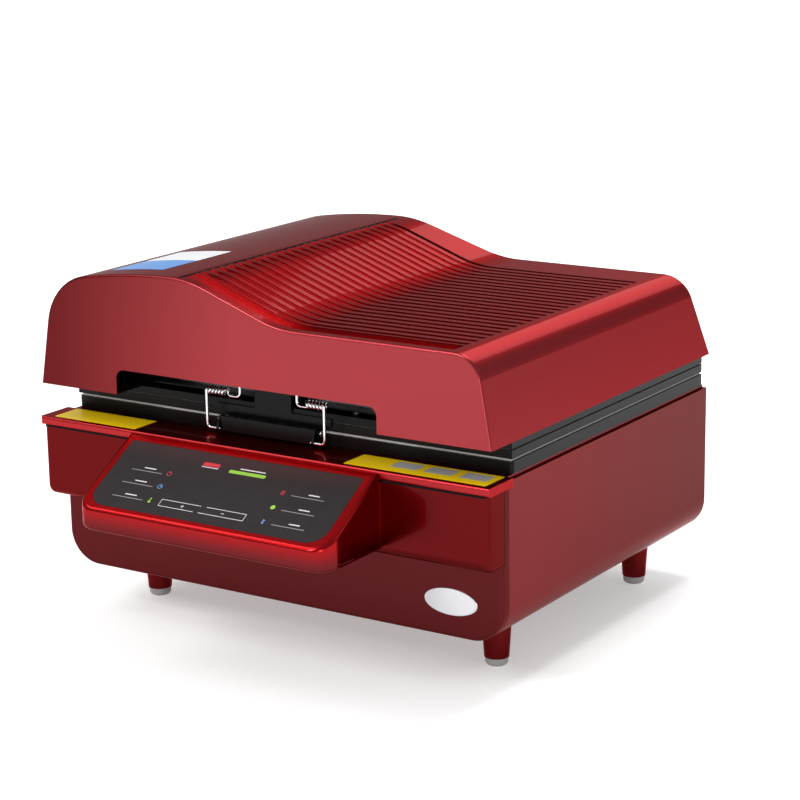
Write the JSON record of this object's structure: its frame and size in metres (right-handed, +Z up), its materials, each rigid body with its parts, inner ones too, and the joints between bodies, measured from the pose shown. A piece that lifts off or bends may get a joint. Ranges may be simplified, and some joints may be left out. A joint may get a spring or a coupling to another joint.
{
  "type": "vacuum heat press",
  "caption": "Bench-top 3D vacuum sublimation press: red cabinet on feet, sloped touch console, recessed perforated platen, hinged silicone membrane frame, ribbed heating hood and wire latch.",
  "frame": {"origin": "on the floor under the middle of the machine's bounding box", "axes": "+X to the machine's right as seen from the front, +Y to the back, +Z up"},
  "size_m": [0.56, 0.59, 0.3909],
  "materials": {
    "cabinet_red": "metallic red lacquer on folded sheet steel",
    "hood_red": "metallic red lacquer on a moulded hood",
    "console_red": "metallic red lacquer on moulded plastic",
    "overlay_black": "smooth printed control overlay",
    "black_metal": "black coated aluminium",
    "black_steel": "satin black paint",
    "bright_steel": "plated steel",
    "wire": "plated spring wire",
    "white_silicone": "white silicone",
    "membrane_silicone": "translucent milky silicone sheet",
    "pad_rubber": "pale grey rubber",
    "board": "printed circuit board",
    "black_plastic": "moulded black plastic",
    "hose_rubber": "vacuum hose",
    "pump_metal": "cast aluminium",
    "chamber_metal": "bright reflector sheet",
    "quartz": "quartz heater tube",
    "ceramic": "white ceramic",
    "lagging": "mineral wool blanket"
  },
  "bodies": {
    "cabinet": {"cabinet_shell": "cabinet_red", "front_panel": "cabinet_red", "front_fascia": "console_red", "front_ledge": "console_red", "control_console": "console_red", "touch_overlay": "overlay_black", "console_board": "board", "feet": "console_red", "foot_pads": "pad_rubber", "foot_screws": "bright_steel", "deck_frame": "cabinet_red", "vacuum_tray": "black_metal", "perforated_platen": "black_metal", "tray_seal": "white_silicone", "rear_panel": "cabinet_red", "fan_guard": "black_steel", "cooling_fan_frame": "black_plastic", "power_inlet": "black_plastic", "switch_bezel": "black_plastic", "vacuum_pump": "pump_metal", "pump_mounts": "hose_rubber", "vacuum_hose": "hose_rubber", "vent_valve": "bright_steel", "power_board": "board", "hinge_brackets": "black_steel", "hinge_pins": "bright_steel", "latch_brackets": "black_steel", "lever_pins": "bright_steel"},
    "membrane_carrier": {"membrane_frame": "black_metal", "silicone_membrane": "membrane_silicone", "clamp_ring": "black_metal", "clamp_screws": "bright_steel", "frame_hinges": "black_steel", "latch_catch": "black_steel"},
    "hood": {"hood_shell": "hood_red", "hood_base": "black_steel", "heater_box": "chamber_metal", "heater_tubes": "quartz", "heater_blocks": "ceramic", "chamber_lagging": "lagging", "fan_motor": "pump_metal", "temperature_probe": "bright_steel", "hood_hinges": "black_steel"},
    "circulation_fan": {"circulation_fan": "bright_steel"},
    "cooling_fan_rotor": {"cooling_fan_rotor": "black_plastic"},
    "switch_rocker": {"switch_rocker": "black_plastic"},
    "latch_lever": {"latch_lever": "black_steel"},
    "latch_bail": {"latch_bail": "wire"}
  },
  "joints": [
    {"name": "hood_hinge", "type": "hinge", "parent": "cabinet", "child": "hood", "pos_m": [0, 0.289, 0.2395], "axis": [-1, 0, 0], "range_deg": [0, 70]},
    {"name": "membrane_frame_hinge", "type": "hinge", "parent": "cabinet", "child": "membrane_carrier", "pos_m": [0, 0.289, 0.2395], "axis": [-1, 0, 0], "range_deg": [0, 45]},
    {"name": "latch_lever_pivot", "type": "hinge", "parent": "cabinet", "child": "latch_lever", "pos_m": [-0.01, -0.152, 0.2365], "axis": [-1, 0, 0], "range_deg": [0, 80]},
    {"name": "latch_bail_pivot", "type": "hinge", "parent": "latch_lever", "child": "latch_bail", "pos_m": [-0.01, -0.161, 0.2285], "axis": [1, 0, 0], "range_deg": [0, 100]},
    {"name": "circulation_fan_spin", "type": "hinge", "parent": "hood", "child": "circulation_fan", "pos_m": [-0.15, 0.0586, 0.317], "axis": [0, 0, 1], "continuous": true},
    {"name": "cooling_fan_spin", "type": "hinge", "parent": "cabinet", "child": "cooling_fan_rotor", "pos_m": [-0.15, 0.265, 0.1315], "axis": [0, 1, 0], "continuous": true},
    {"name": "switch_rocker_tip", "type": "hinge", "parent": "cabinet", "child": "switch_rocker", "pos_m": [0.19, 0.2817, 0.1535], "axis": [-1, 0, 0], "range_deg": [0, 14]}
  ],
  "couplings": [
    {"joint": "membrane_frame_hinge", "follows": "hood_hinge", "ratio": 0.64},
    {"joint": "latch_bail_pivot", "follows": "latch_lever_pivot", "ratio": 1.25}
  ]
}
